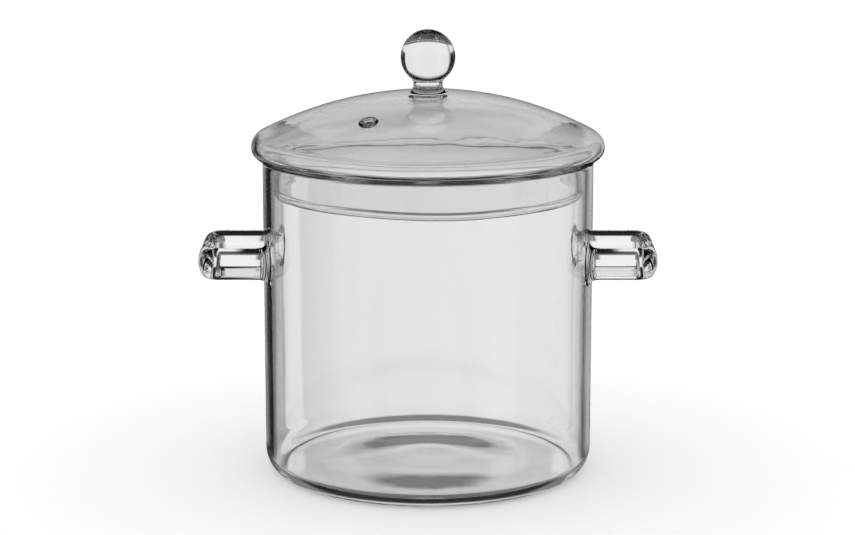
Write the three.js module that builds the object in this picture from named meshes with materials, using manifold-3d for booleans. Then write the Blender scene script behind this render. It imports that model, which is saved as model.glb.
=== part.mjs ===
import * as THREE from 'three';
import { mergeVertices } from 'three/addons/utils/BufferGeometryUtils.js';
import Module from 'manifold-3d';

const wasm = await Module();
wasm.setup();

// Driving sizes in millimetres. Z is up, the pot stands on z = 0 about the Z axis and its handles lie along X.
const POT_DIAMETER = 200;
const POT_HEIGHT = 194;
const WALL_THICKNESS = 4.5;
const FLOOR_THICKNESS = 3.2;
const BASE_CORNER_REACH = 10.7;
const BASE_CORNER_RISE = 14.3;
const HEEL_REACH = 10;
const HEEL_RISE = 8.6;
const KICK_HEIGHT = 3.5;
const KICK_DIAMETER = 142;
const KICK_TOP_DIAMETER = 36;
const FLOOR_RISE = 2.3;
const FLOOR_RISE_DIAMETER = 143.2;
const FLOOR_TOP_DIAMETER = 27;

const HANDLE_BAR_HEIGHT = 19.5;
const HANDLE_BAR_THICKNESS = 10.5;
const HANDLE_PROJECTION = 38.5;
const HANDLE_LEG_SPACING = 55;
const HANDLE_BEND_RADIUS = 9;
const HANDLE_DROP = 61.7;
const FOOT_HEIGHT = 28.5;
const FOOT_EDGE = 1.2;
const FOOT_LENGTH = 5.5;

const LID_OVERHANG = 6.8;
const LID_THICKNESS = 3.2;
const CROWN_THICKNESS = 5.2;
const DOME_RADIUS = 225;
const RIM_UPPER_RADIUS = 8.5;
const RIM_LOWER_RADIUS = 5.5;
const SKIRT_CLEARANCE = 2.2;
const SKIRT_DEPTH = 22.4;
const SKIRT_SHOULDER_RADIUS = 4.4;
const SKIRT_LIP_THICKNESS = 4.2;
const SKIRT_LIP_HEIGHT = 5.2;

const KNOB_BALL_DIAMETER = 33;
const KNOB_NECK_DIAMETER = 17.5;
const KNOB_NECK_BEND = 5;
const KNOB_FOOT_DIAMETER = 21.5;
const KNOB_FOOT_EDGE = 0.6;
const KNOB_BALL_RISE = 22.1;

const VENT_BORE = 6.4;
const VENT_LIP_WIDTH = 2.8;
const VENT_LIP_HEIGHT = 2.2;
const VENT_OFFSET = 65.8;
const VENT_BEARING_DEGREES = 238.3;

// Clearance between parts that meet on a curved or a turned face, and under the lid.
const SEAT_CLEARANCE = 0.3;

// Facets round the large turned parts, the knob, the small turned parts and the bar, and rings along the bar.
const LARGE_FACETS = 56;
const KNOB_FACETS = 28;
const SMALL_FACETS = 20;
const BAR_FACETS = 20;
const LOOP_STEPS = 30;

// Sizes that follow from the driving ones.
const potRadius = POT_DIAMETER / 2;
const boreRadius = potRadius - WALL_THICKNESS;
const flatRadius = potRadius - BASE_CORNER_REACH;
const barHalfHeight = HANDLE_BAR_HEIGHT / 2;
const barHalfThickness = HANDLE_BAR_THICKNESS / 2;
const handleHeight = POT_HEIGHT - HANDLE_DROP;
const legOffset = HANDLE_LEG_SPACING / 2;
const footHalfHeight = FOOT_HEIGHT / 2;
const footFaceX = wallX(legOffset) + FOOT_LENGTH;
const loopOuterX = potRadius + HANDLE_PROJECTION - barHalfThickness;
const lidRadius = potRadius + LID_OVERHANG;
const seatHeight = POT_HEIGHT + SEAT_CLEARANCE;
const rimHeight = seatHeight + RIM_LOWER_RADIUS;
const upperRimCentre = lidRadius - RIM_UPPER_RADIUS;
const lowerRimCentre = lidRadius - RIM_LOWER_RADIUS;
const domeCentre = rimHeight - Math.sqrt((DOME_RADIUS - RIM_UPPER_RADIUS) ** 2 - upperRimCentre ** 2);
const domeEdgeDegrees = degrees(Math.atan2(rimHeight - domeCentre, upperRimCentre));
const innerUpperRim = RIM_UPPER_RADIUS - LID_THICKNESS;
const innerLowerRim = RIM_LOWER_RADIUS - LID_THICKNESS;
const innerCrown = domeCentre + DOME_RADIUS - CROWN_THICKNESS - rimHeight;
const innerDome =
  (upperRimCentre ** 2 + innerCrown ** 2 - innerUpperRim ** 2) / (2 * (innerCrown - innerUpperRim));
const innerCentre = rimHeight + innerCrown - innerDome;
const innerEdgeDegrees = degrees(Math.atan2(rimHeight - innerCentre, upperRimCentre));
const skirtRadius = boreRadius - SKIRT_CLEARANCE;
const skirtBore = skirtRadius - LID_THICKNESS;
const skirtTop = seatHeight - SKIRT_SHOULDER_RADIUS;
const skirtBottom = seatHeight - SKIRT_DEPTH;
const ballRadius = KNOB_BALL_DIAMETER / 2;
const neckRadius = KNOB_NECK_DIAMETER / 2;
const knobFootRadius = KNOB_FOOT_DIAMETER / 2;
const landHeight = domeHeight(knobFootRadius);
const ballCentre = landHeight + KNOB_BALL_RISE;
const neckDegrees = degrees(Math.acos((neckRadius + KNOB_NECK_BEND) / (ballRadius + KNOB_NECK_BEND)));
const waistHeight =
  ballCentre - Math.sqrt((ballRadius + KNOB_NECK_BEND) ** 2 - (neckRadius + KNOB_NECK_BEND) ** 2);
const ventRadius = VENT_BORE / 2;
const ventBearing = THREE.MathUtils.degToRad(VENT_BEARING_DEGREES);

function degrees(radians) {
  return THREE.MathUtils.radToDeg(radians);
}

// How far the outside of the wall stands from the middle plane of the pot at a distance y across it.
function wallX(y) {
  return Math.sqrt(potRadius ** 2 - y ** 2);
}

// Height of the outside of the dome at a distance from the axis.
function domeHeight(distance) {
  return domeCentre + Math.sqrt(DOME_RADIUS ** 2 - distance ** 2);
}

function at(radius, height) {
  return new THREE.Vector2(radius, height);
}

// Points of an elliptical arc of a turned profile, both ends included, by angle from the outward radius.
function arc(centre, height, reach, rise, from, to, steps) {
  const points = [];
  for (let i = 0; i <= steps; i += 1) {
    const angle = THREE.MathUtils.degToRad(from + ((to - from) * i) / steps);
    points.push(at(centre + reach * Math.cos(angle), height + rise * Math.sin(angle)));
  }
  return points;
}

// Points of the pushed-up middle of the base, from the axis to its edge: a flat top and a soft slope round it.
function kick(height, rise, diameter, topDiameter, steps) {
  const points = [at(0, height + rise)];
  for (let i = 0; i <= steps; i += 1) {
    const share = i / steps;
    const radius = (topDiameter + (diameter - topDiameter) * share) / 2;
    points.push(at(radius, height + (rise * (1 + Math.cos(Math.PI * share))) / 2));
  }
  return points;
}

// A profile of radius and height turned about Z. It runs out along the bottom, up the outside and back inside.
function turned(profile, facets) {
  return new THREE.LatheGeometry(profile, facets).rotateX(Math.PI / 2);
}

function closed(profile) {
  return [...profile, profile[0].clone()];
}

function solidOf(geometry) {
  const bare = geometry.clone();
  bare.deleteAttribute('normal');
  bare.deleteAttribute('uv');
  const merged = mergeVertices(bare, 1e-4);
  return new wasm.Manifold(
    new wasm.Mesh({
      numProp: 3,
      vertProperties: merged.attributes.position.array,
      triVerts: new Uint32Array(merged.index.array),
    }),
  );
}

function geometryOf(solid) {
  const mesh = solid.getMesh();
  const geometry = new THREE.BufferGeometry();
  geometry.setAttribute('position', new THREE.BufferAttribute(mesh.vertProperties, 3));
  geometry.setIndex(new THREE.BufferAttribute(mesh.triVerts, 1));
  geometry.computeVertexNormals();
  return geometry;
}

const part = new THREE.Group();
part.name = 'glass_pot';

const blownGlass = { color: 0xe3e8ea, roughness: 0.04, metalness: 0 };
const barGlass = { color: 0xdde3e6, roughness: 0.05, metalness: 0 };
const weldGlass = { color: 0xd8dfe2, roughness: 0.08, metalness: 0 };

function addPart(parent, name, geometry, finish) {
  const mesh = new THREE.Mesh(geometry, new THREE.MeshStandardMaterial(finish));
  mesh.name = name;
  parent.add(mesh);
}

// Blown body: pushed-up floor, a flat ring to stand on, the rounded corner, the wall and a fire-polished rim.
const rimRadius = WALL_THICKNESS / 2;
const potProfile = [
  ...kick(0, KICK_HEIGHT, KICK_DIAMETER, KICK_TOP_DIAMETER, 6),
  ...arc(flatRadius, BASE_CORNER_RISE, BASE_CORNER_REACH, BASE_CORNER_RISE, -90, 0, 5),
  ...arc(potRadius - rimRadius, POT_HEIGHT - rimRadius, rimRadius, rimRadius, 0, 180, 6),
  ...arc(boreRadius - HEEL_REACH, FLOOR_THICKNESS + HEEL_RISE, HEEL_REACH, HEEL_RISE, 0, -90, 6),
  ...kick(FLOOR_THICKNESS, FLOOR_RISE, FLOOR_RISE_DIAMETER, FLOOR_TOP_DIAMETER, 6).reverse(),
];
addPart(part, 'pot_body', turned(potProfile, LARGE_FACETS), blownGlass);

// Centreline of a handle: out along the front leg, round two bends and back along the rear leg.
class HandleLoop extends THREE.Curve {
  constructor(side) {
    super();
    this.side = side;
    this.leg = loopOuterX - HANDLE_BEND_RADIUS - footFaceX;
    this.bend = (HANDLE_BEND_RADIUS * Math.PI) / 2;
    this.grip = HANDLE_LEG_SPACING - 2 * HANDLE_BEND_RADIUS;
  }

  // The front half of the loop by distance along it, and the rear half as its mirror image.
  getPoint(share, target = new THREE.Vector3()) {
    const whole = 2 * (this.leg + this.bend) + this.grip;
    const fromFront = share * whole;
    const along = Math.min(fromFront, whole - fromFront);
    const row = fromFront <= whole / 2 ? -1 : 1;
    const bendX = footFaceX + this.leg;
    const bendY = legOffset - HANDLE_BEND_RADIUS;
    let x = loopOuterX;
    let y = bendY + this.leg + this.bend - along;
    if (along <= this.leg) {
      x = footFaceX + along;
      y = legOffset;
    } else if (along <= this.leg + this.bend) {
      const turn = (along - this.leg) / HANDLE_BEND_RADIUS;
      x = bendX + HANDLE_BEND_RADIUS * Math.sin(turn);
      y = bendY + HANDLE_BEND_RADIUS * Math.cos(turn);
    }
    return target.set(this.side * x, row * y, handleHeight);
  }
}

// A foot turned as a trumpet, flattened like the bar and laid against the wall, whose curve its root follows.
function footGeometry(side, row) {
  const profile = [
    at(0, 0),
    at(footHalfHeight / 3, 0),
    at((2 * footHalfHeight) / 3, 0),
    at(footHalfHeight, 0),
    ...arc(footHalfHeight, FOOT_LENGTH, footHalfHeight - barHalfHeight, FOOT_LENGTH - FOOT_EDGE, -90, -180, 5),
    at(0, FOOT_LENGTH),
  ];
  const geometry = turned(profile, SMALL_FACETS);
  const position = geometry.attributes.position;
  const flattening = barHalfThickness / barHalfHeight;
  for (let i = 0; i < position.count; i += 1) {
    const y = row * legOffset + side * position.getX(i) * flattening;
    const root = wallX(y) + SEAT_CLEARANCE;
    const x = root + ((footFaceX - root) * position.getZ(i)) / FOOT_LENGTH;
    position.setXYZ(i, side * x, y, handleHeight + position.getY(i));
  }
  geometry.computeVertexNormals();
  return geometry;
}

const barSection = new THREE.Shape().absellipse(0, 0, barHalfHeight, barHalfThickness, 0, 2 * Math.PI);
for (const [hand, side] of [['left', -1], ['right', 1]]) {
  const loop = new THREE.ExtrudeGeometry(barSection, {
    extrudePath: new HandleLoop(side),
    steps: LOOP_STEPS,
    curveSegments: BAR_FACETS / 2,
    bevelEnabled: false,
  });
  addPart(part, `handle_${hand}`, loop, barGlass);
  addPart(part, `handle_${hand}_front_foot`, footGeometry(side, -1), weldGlass);
  addPart(part, `handle_${hand}_rear_foot`, footGeometry(side, 1), weldGlass);
}

// Points along a dome of the given centre height and radius, from one distance from the axis to another.
function cap(centre, radius, from, to, steps) {
  const points = [];
  for (let i = 0; i <= steps; i += 1) {
    const distance = from + ((to - from) * i) / steps;
    points.push(at(distance, centre + Math.sqrt(radius ** 2 - distance ** 2)));
  }
  return points;
}

function edgeOf(radius, edgeDegrees) {
  return radius * Math.cos(THREE.MathUtils.degToRad(edgeDegrees));
}

// Blown dome: one sheet, thickest at the crown, that rolls over at the rim, returns under as the flat seat and
// turns down into the skirt.
const shoulderCentre = skirtRadius + SKIRT_SHOULDER_RADIUS;
const innerShoulder = SKIRT_SHOULDER_RADIUS + LID_THICKNESS;
const domeProfile = [
  ...cap(innerCentre, innerDome, 0, edgeOf(innerDome, innerEdgeDegrees), 6),
  ...arc(upperRimCentre, rimHeight, innerUpperRim, innerUpperRim, innerEdgeDegrees, 0, 3).slice(1),
  ...arc(lowerRimCentre, rimHeight, innerLowerRim, innerLowerRim, 0, -90, 3).slice(1),
  ...arc(shoulderCentre, skirtTop, innerShoulder, innerShoulder, 90, 180, 4),
  ...arc(shoulderCentre, skirtTop, SKIRT_SHOULDER_RADIUS, SKIRT_SHOULDER_RADIUS, 180, 90, 3),
  ...arc(lowerRimCentre, rimHeight, RIM_LOWER_RADIUS, RIM_LOWER_RADIUS, -90, 0, 4),
  ...arc(upperRimCentre, rimHeight, RIM_UPPER_RADIUS, RIM_UPPER_RADIUS, 0, domeEdgeDegrees, 4).slice(1),
  ...cap(domeCentre, DOME_RADIUS, edgeOf(DOME_RADIUS, domeEdgeDegrees), knobFootRadius, 6).slice(1),
  at(0, landHeight),
];

// The vent stands square to the dome, so its bore and lip share one turned frame.
const ventPlace = new THREE.Vector3(
  VENT_OFFSET * Math.cos(ventBearing),
  VENT_OFFSET * Math.sin(ventBearing),
  domeHeight(VENT_OFFSET),
);
const ventAxis = ventPlace.clone().sub(new THREE.Vector3(0, 0, domeCentre)).normalize();
const ventFrame = new THREE.Group();
ventFrame.name = 'vent_frame';
ventFrame.position.copy(ventPlace);
ventFrame.quaternion.setFromUnitVectors(new THREE.Vector3(0, 0, 1), ventAxis);
ventFrame.updateMatrix();

const ventCutProfile = [
  at(0, -2 * CROWN_THICKNESS),
  at(ventRadius, -2 * CROWN_THICKNESS),
  at(ventRadius, LID_THICKNESS),
  at(0, LID_THICKNESS),
];
const ventCut = turned(ventCutProfile, SMALL_FACETS).applyMatrix4(ventFrame.matrix);
const dome = solidOf(turned(domeProfile, LARGE_FACETS)).subtract(solidOf(ventCut));
addPart(part, 'lid_dome', geometryOf(dome), blownGlass);

// Plain ring welded under the return of the dome, with a lower edge that is melted into a thicker rounded lip.
const lipReach = SKIRT_LIP_THICKNESS / 2;
const lipRise = SKIRT_LIP_HEIGHT / 2;
const lipDegrees = degrees(Math.acos(LID_THICKNESS / SKIRT_LIP_THICKNESS));
const sheetMiddle = skirtRadius - LID_THICKNESS / 2;
const skirtProfile = closed([
  ...arc(sheetMiddle, skirtBottom + lipRise, lipReach, lipRise, -180 - lipDegrees, lipDegrees, 8),
  at(skirtRadius, skirtTop),
  at(skirtBore, skirtTop),
]);
addPart(part, 'lid_skirt', turned(skirtProfile, LARGE_FACETS), blownGlass);

// Solid ball that draws in to a short waisted neck, which flares onto the flat at the top of the dome.
const neckBend = arc(
  neckRadius + KNOB_NECK_BEND,
  waistHeight,
  KNOB_NECK_BEND,
  KNOB_NECK_BEND,
  180,
  180 - neckDegrees,
  3,
);
const knobProfile = [
  at(0, landHeight),
  at(knobFootRadius, landHeight),
  ...arc(
    knobFootRadius,
    waistHeight,
    knobFootRadius - neckRadius,
    waistHeight - landHeight - KNOB_FOOT_EDGE,
    -90,
    -180,
    4,
  ),
  ...neckBend.slice(1),
  ...arc(0, ballCentre, ballRadius, ballRadius, -neckDegrees, 0, 5).slice(1),
  ...arc(0, ballCentre, ballRadius, ballRadius, 0, 90, 7).slice(1),
];
addPart(part, 'lid_knob', turned(knobProfile, KNOB_FACETS), barGlass);

// Bead of glass round the mouth of the vent.
const lipCentre = ventRadius + VENT_LIP_WIDTH / 2;
const lipProfile = closed(arc(lipCentre, SEAT_CLEARANCE, VENT_LIP_WIDTH / 2, VENT_LIP_HEIGHT, 0, 180, 6));
addPart(ventFrame, 'vent_lip', turned(lipProfile, SMALL_FACETS), weldGlass);
part.add(ventFrame);

export default part;
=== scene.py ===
import math

import bpy
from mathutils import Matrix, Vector


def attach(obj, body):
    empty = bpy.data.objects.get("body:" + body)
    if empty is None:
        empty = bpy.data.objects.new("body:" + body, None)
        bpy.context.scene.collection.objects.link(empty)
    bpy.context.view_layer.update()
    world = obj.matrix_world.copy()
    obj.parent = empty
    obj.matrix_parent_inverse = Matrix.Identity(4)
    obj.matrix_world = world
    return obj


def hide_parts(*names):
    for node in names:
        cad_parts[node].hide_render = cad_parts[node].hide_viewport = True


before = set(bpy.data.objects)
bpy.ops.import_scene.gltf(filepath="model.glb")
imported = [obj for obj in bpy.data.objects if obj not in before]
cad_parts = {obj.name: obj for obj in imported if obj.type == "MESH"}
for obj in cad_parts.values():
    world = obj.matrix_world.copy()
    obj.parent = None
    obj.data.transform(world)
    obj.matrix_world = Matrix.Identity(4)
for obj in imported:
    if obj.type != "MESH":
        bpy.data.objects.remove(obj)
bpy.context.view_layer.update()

bpy.ops.object.select_all(action="DESELECT")
bpy.context.scene.view_settings.view_transform = "Standard"


# Pot body: one gather of clear borosilicate glass blown in a straight mould, with the floor pushed up
# in the middle while soft and the rim melted round in the flame.
pot_radius = 0.100
pot_height = 0.194
pot_wall = 0.0045
pot_floor = 0.0032
corner_reach = 0.0107
corner_rise = 0.0143
heel_reach = 0.010
heel_rise = 0.0086
kick_radius = 0.071
kick_top = 0.018
kick_height = 0.0035
floor_radius = 0.0716
floor_top = 0.0135
floor_rise = 0.0023
glass_turns = 240


def bent(centre, height, reach, rise, start, end, steps):
    """Radius and height of points along a bend of the glass, by angle from straight out."""
    points = []
    for i in range(steps + 1):
        angle = math.radians(start + (end - start) * i / steps)
        points.append((centre + reach * math.cos(angle), height + rise * math.sin(angle)))
    return points


def straight(start, end, steps):
    """Points along a straight run of the glass, without its first."""
    return [
        (start[0] + (end[0] - start[0]) * i / steps, start[1] + (end[1] - start[1]) * i / steps)
        for i in range(1, steps + 1)
    ]


def blow_glass(name, outline):
    """Draws the outline as a chain of extruded points and spins it about the axis of the pot."""
    bpy.ops.mesh.primitive_circle_add(vertices=3, radius=0.001)
    glass = bpy.context.object
    glass.name = glass.data.name = name
    bpy.ops.object.mode_set(mode="EDIT")
    bpy.ops.mesh.merge(type="CENTER")
    bpy.ops.transform.translate(value=(outline[0][0], 0, outline[0][1]))
    for (r0, z0), (r1, z1) in zip(outline, outline[1:]):
        bpy.ops.mesh.extrude_region_move(TRANSFORM_OT_translate={"value": (r1 - r0, 0, z1 - z0)})
    bpy.ops.mesh.select_all(action="SELECT")
    bpy.ops.mesh.spin(steps=glass_turns, angle=math.tau, center=(0, 0, 0), axis=(0, 0, 1))
    bpy.ops.mesh.select_all(action="SELECT")
    bpy.ops.mesh.remove_doubles(threshold=1e-6)
    bpy.ops.mesh.normals_make_consistent(inside=False)
    bpy.ops.object.mode_set(mode="OBJECT")
    bpy.ops.object.shade_smooth()
    return glass


def pushed_up(height, rise, top, edge, steps):
    """Points over the pushed-up middle of the floor, from the axis out: a flat top, then a soft slope."""
    flat_steps = 6
    points = [(top * i / flat_steps, height + rise) for i in range(flat_steps)]
    for i in range(steps + 1):
        share = i / steps
        points.append((top + (edge - top) * share, height + rise * (1 + math.cos(math.pi * share)) / 2))
    return points


flat_radius = pot_radius - corner_reach
bore_radius = pot_radius - pot_wall
heel_radius = bore_radius - heel_reach
rim_roll = pot_wall / 2
pot_outline = pushed_up(0, kick_height, kick_top, kick_radius, 32)
pot_outline += straight((kick_radius, 0), (flat_radius, 0), 6)
pot_outline += bent(flat_radius, corner_rise, corner_reach, corner_rise, -90, 0, 20)[1:]
pot_outline += straight((pot_radius, corner_rise), (pot_radius, pot_height - rim_roll), 70)
pot_outline += bent(pot_radius - rim_roll, pot_height - rim_roll, rim_roll, rim_roll, 0, 180, 16)[1:]
pot_outline += straight((bore_radius, pot_height - rim_roll), (bore_radius, pot_floor + heel_rise), 70)
pot_outline += bent(heel_radius, pot_floor + heel_rise, heel_reach, heel_rise, 0, -90, 24)[1:]
pot_outline += straight((heel_radius, pot_floor), (floor_radius, pot_floor), 6)
pot_outline += pushed_up(pot_floor, floor_rise, floor_top, floor_radius, 32)[::-1][1:]
pot = blow_glass("pot_glass", pot_outline)


# Handles: two loops of solid flattened glass bar, bent hot at two corners. Each end is melted into a flared
# foot that is fused to the wall, so the glass runs on from bar to pot without a joint.
bar_tall = 0.00975
bar_thick = 0.00525
handle_height = 0.1323
leg_offset = 0.0275
loop_reach = 0.13325
bend_radius = 0.009
foot_tall = 0.01425
foot_length = 0.0055
foot_root = 0.0022
foot_edge = 0.0008
foot_toe = 0.0005
edge_round = 0.0006
toe_round = 0.0002
bar_sides = 64
bar_steps = 6
grip_steps = 10
bend_steps = 20


def wall_at(y):
    """How far out the wall of the pot is at a distance from its middle plane."""
    return math.sqrt(pot_radius**2 - y**2)


def bend_handle(name, side):
    """Pulls a flat ring of points out of the wall, round the two corners and back into the wall."""
    leg_x = wall_at(leg_offset)
    flare = foot_tall - bar_tall
    rings = [(-foot_root, 1 + (flare - edge_round) / bar_tall), (-foot_edge, 1 + flare / bar_tall)]
    flare_steps = 12
    for i in range(flare_steps + 1):
        angle = math.radians(90 * i / flare_steps)
        out = foot_toe + (foot_length - foot_toe) * (1 - math.cos(angle))
        rings.append((out, 1 + (flare - toe_round) * (1 - math.sin(angle)) / bar_tall))
    bpy.ops.mesh.primitive_circle_add(
        vertices=bar_sides,
        radius=bar_tall * rings[0][1],
        location=(leg_x + rings[0][0], -leg_offset, handle_height),
        rotation=(0, math.pi / 2, 0),
    )
    handle = bpy.context.object
    handle.name = handle.data.name = name
    handle.scale = (1, bar_thick / bar_tall, 1)
    bpy.ops.object.transform_apply(location=True, rotation=True, scale=True)
    bpy.ops.object.mode_set(mode="EDIT")
    bpy.ops.mesh.select_all(action="SELECT")

    def pull(dx, dy):
        """Draws the end of the bar on by one step."""
        bpy.ops.mesh.extrude_region_move(TRANSFORM_OT_translate={"value": (dx, dy, 0)})

    def swell(share, x, y):
        """Widens the end of the bar about its middle."""
        bpy.ops.transform.resize(value=(1, share, share), center_override=(x, y, handle_height))

    for (s0, r0), (s1, r1) in zip(rings, rings[1:]):
        pull(s1 - s0, 0)
        swell(r1 / r0, leg_x + s1, -leg_offset)
    bend_x = loop_reach - bend_radius
    bend_y = leg_offset - bend_radius
    leg = bend_x - leg_x - foot_length

    def turn_corner(y):
        """Bends the bar through a right angle about a point inside the loop."""
        bpy.ops.mesh.spin(
            steps=bend_steps, angle=math.pi / 2, center=(bend_x, y, handle_height), axis=(0, 0, -1)
        )

    for i in range(bar_steps):
        pull(leg / bar_steps, 0)
    turn_corner(-bend_y)
    for i in range(grip_steps):
        pull(0, 2 * bend_y / grip_steps)
    turn_corner(bend_y)
    for i in range(bar_steps):
        pull(-leg / bar_steps, 0)
    back = rings[::-1]
    for (s0, r0), (s1, r1) in zip(back, back[1:]):
        pull(s1 - s0, 0)
        swell(r1 / r0, leg_x + s1, leg_offset)
    bpy.ops.mesh.select_all(action="SELECT")
    bpy.ops.mesh.remove_doubles(threshold=1e-6)
    bpy.ops.mesh.select_all(action="DESELECT")
    bpy.ops.mesh.select_non_manifold()
    bpy.ops.mesh.fill_holes(sides=0)
    bpy.ops.mesh.select_all(action="SELECT")
    bpy.ops.mesh.normals_make_consistent(inside=False)
    bpy.ops.object.mode_set(mode="OBJECT")
    for point in handle.data.vertices:
        share = (leg_x + foot_length - point.co.x) / foot_length
        if share > 0:
            point.co.x += (wall_at(point.co.y) - leg_x) * min(share, 1.0)
    if side < 0:
        bpy.ops.object.mode_set(mode="EDIT")
        bpy.ops.mesh.select_all(action="SELECT")
        bpy.ops.transform.resize(value=(-1, 1, 1), center_override=(0, 0, 0))
        bpy.ops.mesh.normals_make_consistent(inside=False)
        bpy.ops.object.mode_set(mode="OBJECT")
    bpy.ops.object.shade_smooth()
    return handle


def fuse(glass, other, operation):
    """Joins or cuts one glass shape with another and drops the second."""
    bpy.ops.object.select_all(action="DESELECT")
    glass.select_set(True)
    bpy.context.view_layer.objects.active = glass
    seam = glass.modifiers.new("seam", "BOOLEAN")
    seam.operation = operation
    seam.solver = "EXACT"
    seam.object = other
    bpy.ops.object.modifier_apply(modifier="seam")
    bpy.data.objects.remove(other, do_unlink=True)


for hand, side in (("handle_left", -1), ("handle_right", 1)):
    fuse(pot, bend_handle(hand, side), "UNION")
pot.select_set(True)
bpy.ops.object.shade_smooth_by_angle(angle=math.radians(40))


def clear_glass(name, tint, ripple, worn_below):
    """Clear glass: slow ripples and streaks from the blowing, faint smears, and scuffs where it stands."""
    glass_index = 1.47
    streak_shade = 0.985
    scuff_height = 0.0015
    scuff_rough = 0.16
    smear_rough = 0.008
    material = bpy.data.materials.new(name)
    material.use_nodes = True
    nodes, links = material.node_tree.nodes, material.node_tree.links
    shader = nodes["Principled BSDF"]
    shader.inputs["Transmission Weight"].default_value = 1.0
    shader.inputs["IOR"].default_value = glass_index
    place = nodes.new("ShaderNodeTexCoord")

    def clouds(stretch, scale, detail):
        """Noise over the piece, drawn out along its height by the stretch."""
        turn = nodes.new("ShaderNodeMapping")
        turn.inputs["Scale"].default_value = (1, 1, 1 / stretch)
        links.new(place.outputs["Object"], turn.inputs["Vector"])
        noise = nodes.new("ShaderNodeTexNoise")
        noise.inputs["Scale"].default_value = scale
        noise.inputs["Detail"].default_value = detail
        links.new(turn.outputs["Vector"], noise.inputs["Vector"])
        return noise.outputs["Fac"]

    def spread(value, low, high, least, most):
        """Maps the noise between low and high onto the given values."""
        node = nodes.new("ShaderNodeMapRange")
        links.new(value, node.inputs["Value"])
        for socket, number in zip(("From Min", "From Max", "To Min", "To Max"), (low, high, least, most)):
            node.inputs[socket].default_value = number
        return node.outputs["Result"]

    streaks = nodes.new("ShaderNodeMix")
    streaks.data_type = "RGBA"
    links.new(spread(clouds(12, 60, 2), 0.35, 0.65, 0, 1), streaks.inputs["Factor"])
    streaks.inputs["A"].default_value = (*(streak_shade * level for level in tint), 1)
    streaks.inputs["B"].default_value = (*tint, 1)
    links.new(streaks.outputs["Result"], shader.inputs["Base Color"])

    height = nodes.new("ShaderNodeSeparateXYZ")
    links.new(place.outputs["Object"], height.inputs[0])
    scuffs = nodes.new("ShaderNodeMath")
    scuffs.operation = "MULTIPLY"
    worn = spread(height.outputs["Z"], worn_below, worn_below - scuff_height, 0, scuff_rough)
    links.new(worn, scuffs.inputs[0])
    links.new(spread(clouds(1, 900, 3), 0.45, 0.7, 0, 1), scuffs.inputs[1])
    smears = nodes.new("ShaderNodeMath")
    links.new(spread(clouds(2, 45, 4), 0.6, 0.8, 0, smear_rough), smears.inputs[0])
    links.new(scuffs.outputs[0], smears.inputs[1])
    links.new(smears.outputs[0], shader.inputs["Roughness"])

    waves = nodes.new("ShaderNodeBump")
    waves.inputs["Strength"].default_value = 1.0
    waves.inputs["Distance"].default_value = ripple
    links.new(clouds(3, 40, 1), waves.inputs["Height"])
    links.new(waves.outputs["Normal"], shader.inputs["Normal"])
    return material


pot_glass = clear_glass("blown_pot_glass", (0.908, 0.908, 0.908), 0.0001, 0.002)
pot.data.materials.clear()
pot.data.materials.append(pot_glass)
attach(pot, "pot")
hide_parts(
    "pot_body",
    "handle_left",
    "handle_left_front_foot",
    "handle_left_rear_foot",
    "handle_right",
    "handle_right_front_foot",
    "handle_right_rear_foot",
)


# Lid: a blown dome whose edge is rolled over and turned back under as a seat, with the skirt that hangs in
# the pot, a solid ball on a short neck drawn up from the top, and a steam vent with a melted lip.
lid_radius = 0.1068
lid_sheet = 0.0032
lid_crown = 0.0052
dome_radius = 0.225
rim_upper = 0.0085
rim_lower = 0.0055
seat_height = 0.1943
skirt_radius = 0.0933
skirt_bottom = 0.1719
lip_reach = 0.0021
lip_rise = 0.0026
shoulder = 0.0044
ball_radius = 0.01644
neck_radius = 0.00875
neck_bend = 0.005
knob_foot = 0.0125
ball_rise = 0.0221

rim_height = seat_height + rim_lower
upper_centre = lid_radius - rim_upper
lower_centre = lid_radius - rim_lower
dome_centre = rim_height - math.sqrt((dome_radius - rim_upper) ** 2 - upper_centre**2)
dome_edge = math.degrees(math.atan2(rim_height - dome_centre, upper_centre))
inner_roll = rim_upper - lid_sheet
inner_crown = dome_centre + dome_radius - lid_crown - rim_height
inner_dome = (upper_centre**2 + inner_crown**2 - inner_roll**2) / (2 * (inner_crown - inner_roll))
inner_centre = rim_height + inner_crown - inner_dome
inner_edge = math.degrees(math.atan2(rim_height - inner_centre, upper_centre))
skirt_bore = skirt_radius - lid_sheet
skirt_top = seat_height - shoulder
shoulder_centre = skirt_radius + shoulder
sheet_middle = skirt_radius - lid_sheet / 2
lip_angle = math.degrees(math.acos(lid_sheet / 2 / lip_reach))
lip_top = skirt_bottom + lip_rise * (1 + math.sin(math.radians(lip_angle)))
land = dome_centre + math.sqrt(dome_radius**2 - knob_foot**2)
ball_centre = land + ball_rise
neck_angle = math.degrees(math.acos((neck_radius + neck_bend) / (ball_radius + neck_bend)))
waist = ball_centre - (ball_radius + neck_bend) * math.sin(math.radians(neck_angle))


def dome_run(centre, radius, start, end, steps):
    """Points along the dome between two distances from the axis."""
    return [
        (d, centre + math.sqrt(radius**2 - d**2))
        for d in (start + (end - start) * i / steps for i in range(steps + 1))
    ]


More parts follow.
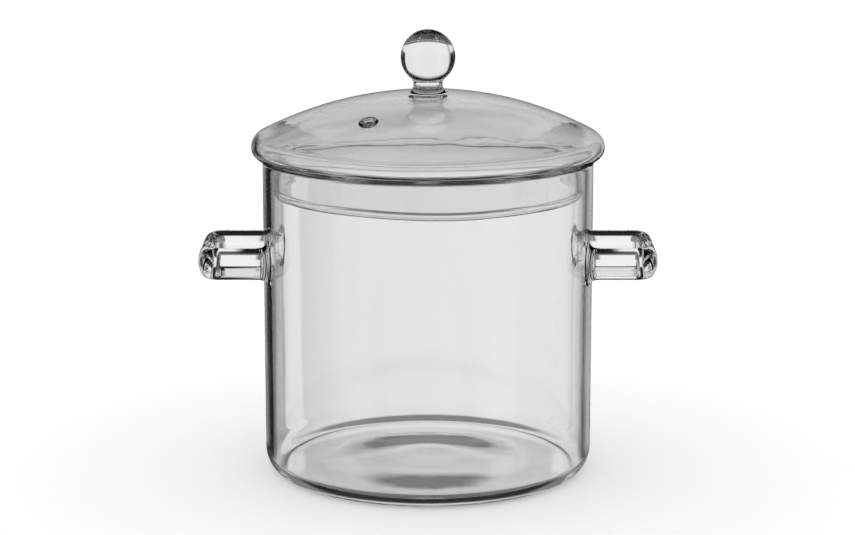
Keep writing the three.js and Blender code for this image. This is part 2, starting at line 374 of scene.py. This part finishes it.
lid_outline = dome_run(inner_centre, inner_dome, 0, inner_dome * math.cos(math.radians(inner_edge)), 40)
lid_outline += bent(upper_centre, rim_height, inner_roll, inner_roll, inner_edge, 0, 10)[1:]
lid_outline += bent(lower_centre, rim_height, rim_lower - lid_sheet, rim_lower - lid_sheet, 0, -90, 10)[1:]
lid_outline += bent(shoulder_centre, skirt_top, shoulder + lid_sheet, shoulder + lid_sheet, 90, 180, 14)
lid_outline += straight((skirt_bore, skirt_top), (skirt_bore, lip_top), 10)
lip_middle = skirt_bottom + lip_rise
lid_outline += bent(sheet_middle, lip_middle, lip_reach, lip_rise, -180 - lip_angle, lip_angle, 24)[1:]
lid_outline += straight((skirt_radius, lip_top), (skirt_radius, skirt_top), 10)
lid_outline += bent(shoulder_centre, skirt_top, shoulder, shoulder, 180, 90, 10)[1:]
lid_outline += bent(lower_centre, rim_height, rim_lower, rim_lower, -90, 0, 12)
lid_outline += bent(upper_centre, rim_height, rim_upper, rim_upper, 0, dome_edge, 10)[1:]
dome_start = dome_radius * math.cos(math.radians(dome_edge))
lid_outline += dome_run(dome_centre, dome_radius, dome_start, knob_foot, 40)[1:]
lid_outline += bent(knob_foot, waist, knob_foot - neck_radius, waist - land, -90, -180, 24)[1:]
lid_outline += bent(neck_radius + neck_bend, waist, neck_bend, neck_bend, 180, 180 - neck_angle, 16)[1:]
lid_outline += bent(0, ball_centre, ball_radius, ball_radius, -neck_angle, 90, 48)[1:]
lid_outline[-1] = (0.0, lid_outline[-1][1])
lid = blow_glass("lid_glass", lid_outline)

inside_reach = 0.094
inside_low = 0.2
inside_skin = 0.0002
wave_length = 0.06
wave_height = 0.0014
lid.vertex_groups.new(name="inside of the dome")
for point in lid.data.vertices:
    reach = math.hypot(point.co.x, point.co.y)
    inside_high = inner_centre + math.sqrt(inner_dome**2 - reach**2) + inside_skin
    point.select = reach < inside_reach and inside_low < point.co.z < inside_high
bpy.ops.object.mode_set(mode="EDIT")
bpy.ops.object.vertex_group_assign()
bpy.ops.object.mode_set(mode="OBJECT")
hand_blown = bpy.data.textures.new("hand_blown", "CLOUDS")
hand_blown.noise_scale = wave_length
hand_blown.noise_depth = 0
waviness = lid.modifiers.new("waviness", "DISPLACE")
waviness.texture = hand_blown
waviness.texture_coords = "LOCAL"
waviness.direction = "Z"
waviness.vertex_group = "inside of the dome"
waviness.strength = wave_height
waviness.mid_level = 0.5
bpy.ops.object.modifier_apply(modifier="waviness")

vent_offset = 0.0658
vent_bearing = math.radians(238.3)
vent_bore = 0.0032
vent_depth = 0.016
lip_width = 0.0028
lip_proud = 0.0007
vent_sides = 64
vent_place = Vector(
    (
        vent_offset * math.cos(vent_bearing),
        vent_offset * math.sin(vent_bearing),
        dome_centre + math.sqrt(dome_radius**2 - vent_offset**2),
    )
)
vent_axis = (vent_place - Vector((0, 0, dome_centre))).normalized()
vent_turn = vent_axis.to_track_quat("Z", "Y").to_euler()
bpy.ops.object.select_all(action="DESELECT")
bpy.ops.mesh.primitive_torus_add(
    location=vent_place,
    rotation=vent_turn,
    major_radius=vent_bore + lip_width / 2,
    minor_radius=lip_width / 2,
    major_segments=vent_sides,
    minor_segments=24,
)
lip = bpy.context.object
bpy.ops.object.mode_set(mode="EDIT")
bpy.ops.mesh.select_all(action="SELECT")
bpy.ops.transform.translate(value=vent_axis * lip_proud)
bpy.ops.object.mode_set(mode="OBJECT")
bpy.ops.object.transform_apply(location=True, rotation=True, scale=True)
fuse(lid, lip, "UNION")
bpy.ops.object.select_all(action="DESELECT")
bpy.ops.mesh.primitive_cylinder_add(
    vertices=vent_sides, radius=vent_bore, depth=vent_depth, location=vent_place, rotation=vent_turn
)
drill = bpy.context.object
bpy.ops.object.transform_apply(location=True, rotation=True, scale=True)
fuse(lid, drill, "DIFFERENCE")
lid.select_set(True)
bpy.ops.object.shade_smooth_by_angle(angle=math.radians(40))

lid_glass = clear_glass("blown_lid_glass", (0.852, 0.852, 0.852), 0.00012, 0.1735)
lid.data.materials.clear()
lid.data.materials.append(lid_glass)
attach(lid, "lid")
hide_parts("lid_dome", "lid_skirt", "lid_knob", "vent_lip")


# Studio: a pale table in a white cove, which the camera sees as plain white. Through the glass the cove is lit
# panels with dark strips between them, and cards and soft dark flags hang round the pot for the glass alone.
table_radius = 1.5
table_drop = 0.0002
table_lift = 0.16
bpy.ops.object.select_all(action="DESELECT")
bpy.ops.mesh.primitive_circle_add(
    vertices=128, radius=table_radius, fill_type="NGON", location=(0, 0, -table_drop)
)
table = bpy.context.object
table.name = "table"
bpy.ops.object.transform_apply(location=True)
table_paint = bpy.data.materials.new("table_paint")
table_paint.use_nodes = True
nodes, links = table_paint.node_tree.nodes, table_paint.node_tree.links
paint = nodes["Principled BSDF"]
paint.inputs["Base Color"].default_value = (0.9, 0.9, 0.9, 1)
paint.inputs["Roughness"].default_value = 0.9
paint.inputs["Specular IOR Level"].default_value = 0.0
paint.inputs["Emission Color"].default_value = (1, 1, 1, 1)
paint.inputs["Emission Strength"].default_value = table_lift


def reckon(operation, *values):
    """Runs one sum over all the values in turn in the node tree in hand, and gives its result."""
    result = values[0]
    for value in values[1:]:
        node = nodes.new("ShaderNodeMath")
        node.operation = operation
        for socket, entry in zip(node.inputs, (result, value)):
            if isinstance(entry, (int, float)):
                socket.default_value = entry
            else:
                links.new(entry, socket)
        result = node.outputs[0]
    return result


def ease(value, low, high):
    """Adds a soft step from 0 at low to 1 at high."""
    node = nodes.new("ShaderNodeMapRange")
    node.interpolation_type = "SMOOTHSTEP"
    links.new(value, node.inputs["Value"])
    node.inputs["From Min"].default_value = low
    node.inputs["From Max"].default_value = high
    return node.outputs["Result"]


path = nodes.new("ShaderNodeLightPath")
unseen = reckon("MAXIMUM", path.outputs["Is Transmission Ray"], path.outputs["Is Glossy Ray"])
choice = nodes.new("ShaderNodeMixShader")
links.new(unseen, choice.inputs["Fac"])
links.new(paint.outputs["BSDF"], choice.inputs[1])
links.new(nodes.new("ShaderNodeBsdfTransparent").outputs["BSDF"], choice.inputs[2])
links.new(choice.outputs["Shader"], nodes["Material Output"].inputs["Surface"])
table.data.materials.append(table_paint)


def hang_card(name, centre, size, turn, fade, level=1.0):
    """A card that only the glass sees, with soft edges: its middle, size, turn and light."""
    global nodes, links
    bpy.ops.mesh.primitive_plane_add(size=1, rotation=turn)
    card = bpy.context.object
    card.name = name
    card.scale = (*size, 1)
    card.location = centre
    bpy.ops.object.transform_apply(location=True, rotation=True, scale=True)
    card_light = bpy.data.materials.new(name + "_light")
    card_light.use_nodes = True
    nodes, links = card_light.node_tree.nodes, card_light.node_tree.links
    nodes.clear()
    place = nodes.new("ShaderNodeTexCoord")
    split = nodes.new("ShaderNodeSeparateXYZ")
    links.new(place.outputs["Object"], split.inputs[0])
    shine = 1.0
    for axis in range(3):
        low = min(corner[axis] for corner in card.bound_box)
        high = max(corner[axis] for corner in card.bound_box)
        if high - low > fade:
            along = split.outputs[axis]
            shine = reckon("MULTIPLY", shine, ease(along, low, low + fade), ease(along, high, high - fade))
    lamp = nodes.new("ShaderNodeEmission")
    lamp.inputs["Strength"].default_value = level
    glow = nodes.new("ShaderNodeMixShader")
    links.new(shine, glow.inputs["Fac"])
    links.new(nodes.new("ShaderNodeBsdfTransparent").outputs[0], glow.inputs[1])
    links.new(lamp.outputs[0], glow.inputs[2])
    links.new(glow.outputs[0], nodes.new("ShaderNodeOutputMaterial").inputs["Surface"])
    card.data.materials.append(card_light)
    card.visible_camera = card.visible_diffuse = card.visible_shadow = card.visible_glossy = False


quarter = math.pi / 2
facing_pot = (quarter, 0, 0)
beside_knob = (0, quarter, 0)
hang_card("back_card", (0.025, 0.16, 0.245), (0.33, 0.23), facing_pot, 0.05)
for side in (-1, 1):
    hang_card("handle_card", (side * 0.156, 0.5, 0.075), (0.056, 0.55), facing_pot, 0.01)
    hang_card("low_card", (side * 0.165, -0.09, 0.05), (0.1, 0.13), (0, 0, 0), 0.01)
    flag_middle = (side * 0.1, 0.055 - side * 0.006, 0.272)
    hang_card("dark_flag", flag_middle, (0.116, 0.16), beside_knob, 0.016, 0.02)

world = bpy.data.worlds.new("studio")
bpy.context.scene.world = world
world.use_nodes = True
nodes, links = world.node_tree.nodes, world.node_tree.links
nodes.clear()
path = nodes.new("ShaderNodeLightPath")
view = nodes.new("ShaderNodeTexCoord")
split = nodes.new("ShaderNodeSeparateXYZ")
links.new(view.outputs["Generated"], split.inputs[0])
east, north, height = split.outputs["X"], split.outputs["Y"], split.outputs["Z"]
level_run = reckon("ADD", reckon("MULTIPLY", east, east), reckon("MULTIPLY", north, north))
level_run = reckon("MAXIMUM", reckon("POWER", level_run, 0.5), 0.001)
turned = reckon("ARCTAN2", east, north)


def swing(start, end):
    """A soft step round the cove, between two bearings in degrees from straight behind the pot."""
    return ease(turned, math.radians(start), math.radians(end))


def climb(start, end):
    """A soft step up the cove, between two elevations in degrees."""
    return ease(height, math.sin(math.radians(start)), math.sin(math.radians(end)))


def panel(bearing, half_width, low, high):
    """A lit panel of the cove: its bearing from straight behind the pot, half width and height, in degrees."""
    soft = 4
    turn = math.radians(bearing)
    across = reckon("ADD", reckon("MULTIPLY", east, math.sin(turn)), reckon("MULTIPLY", north, math.cos(turn)))
    dark_end, lit_end = math.radians(half_width + soft), math.radians(half_width - soft)
    width = ease(reckon("DIVIDE", across, level_run), math.cos(dark_end), math.cos(lit_end))
    return reckon("MULTIPLY", width, climb(low - soft, low + soft), climb(high + soft, high - soft))


table_level = 0.26
front_level = 0.06
mirror_level = 0.5
gap_level = 0.015
back_panel = reckon("MULTIPLY", swing(-23, 1), swing(40, 6), climb(-21.9, -19.2), climb(19, 9))
table_glow = reckon("MULTIPLY", climb(-15, -19), climb(-43, -33), ease(north, 0.1, 0.5), table_level)
front_glow = reckon("MULTIPLY", panel(180, 20, -51, -31), front_level)
side_panels = reckon("MAXIMUM", panel(115, 73, -33, 6), panel(-115, 73, -33, 6))
straight_down = climb(-82, -86)
through = reckon("MAXIMUM", back_panel, table_glow, front_glow, side_panels, straight_down)
through = reckon("MULTIPLY", through, path.outputs["Is Transmission Ray"])
mirror = reckon("MAXIMUM", panel(-126, 14, -25, 50), panel(128, 8, -25, 50))
mirror = reckon("MULTIPLY", mirror, mirror_level, path.outputs["Is Glossy Ray"])
bounced = reckon("GREATER_THAN", path.outputs["Diffuse Depth"], 0.5)
light = nodes.new("ShaderNodeBackground")
light.inputs["Color"].default_value = (1, 1, 1, 1)
strength = reckon("MAXIMUM", through, mirror, gap_level, path.outputs["Is Camera Ray"], bounced)
links.new(strength, light.inputs["Strength"])
links.new(light.outputs[0], nodes.new("ShaderNodeOutputWorld").inputs["Surface"])

settings = bpy.context.scene.cycles
settings.max_bounces = 40
settings.transmission_bounces = 40
settings.glossy_bounces = 12
settings.transparent_max_bounces = 16

camera_data = bpy.data.cameras.new("camera")
camera = bpy.data.objects.new("camera", camera_data)
bpy.context.scene.collection.objects.link(camera)
bpy.context.scene.camera = camera
film_width = 36.0
picture_width = 855
focal_pixels = 2700
camera_distance = 1.6493
aim = Vector((-0.0003, 0, 0.12422))
tilt = math.radians(12.2)
camera_data.sensor_width = film_width
camera_data.lens = film_width * focal_pixels / picture_width
camera_data.clip_start = 0.05
camera.location = aim + camera_distance * Vector((0, -math.cos(tilt), math.sin(tilt)))
camera.rotation_euler = (math.pi / 2 - tilt, 0, 0)
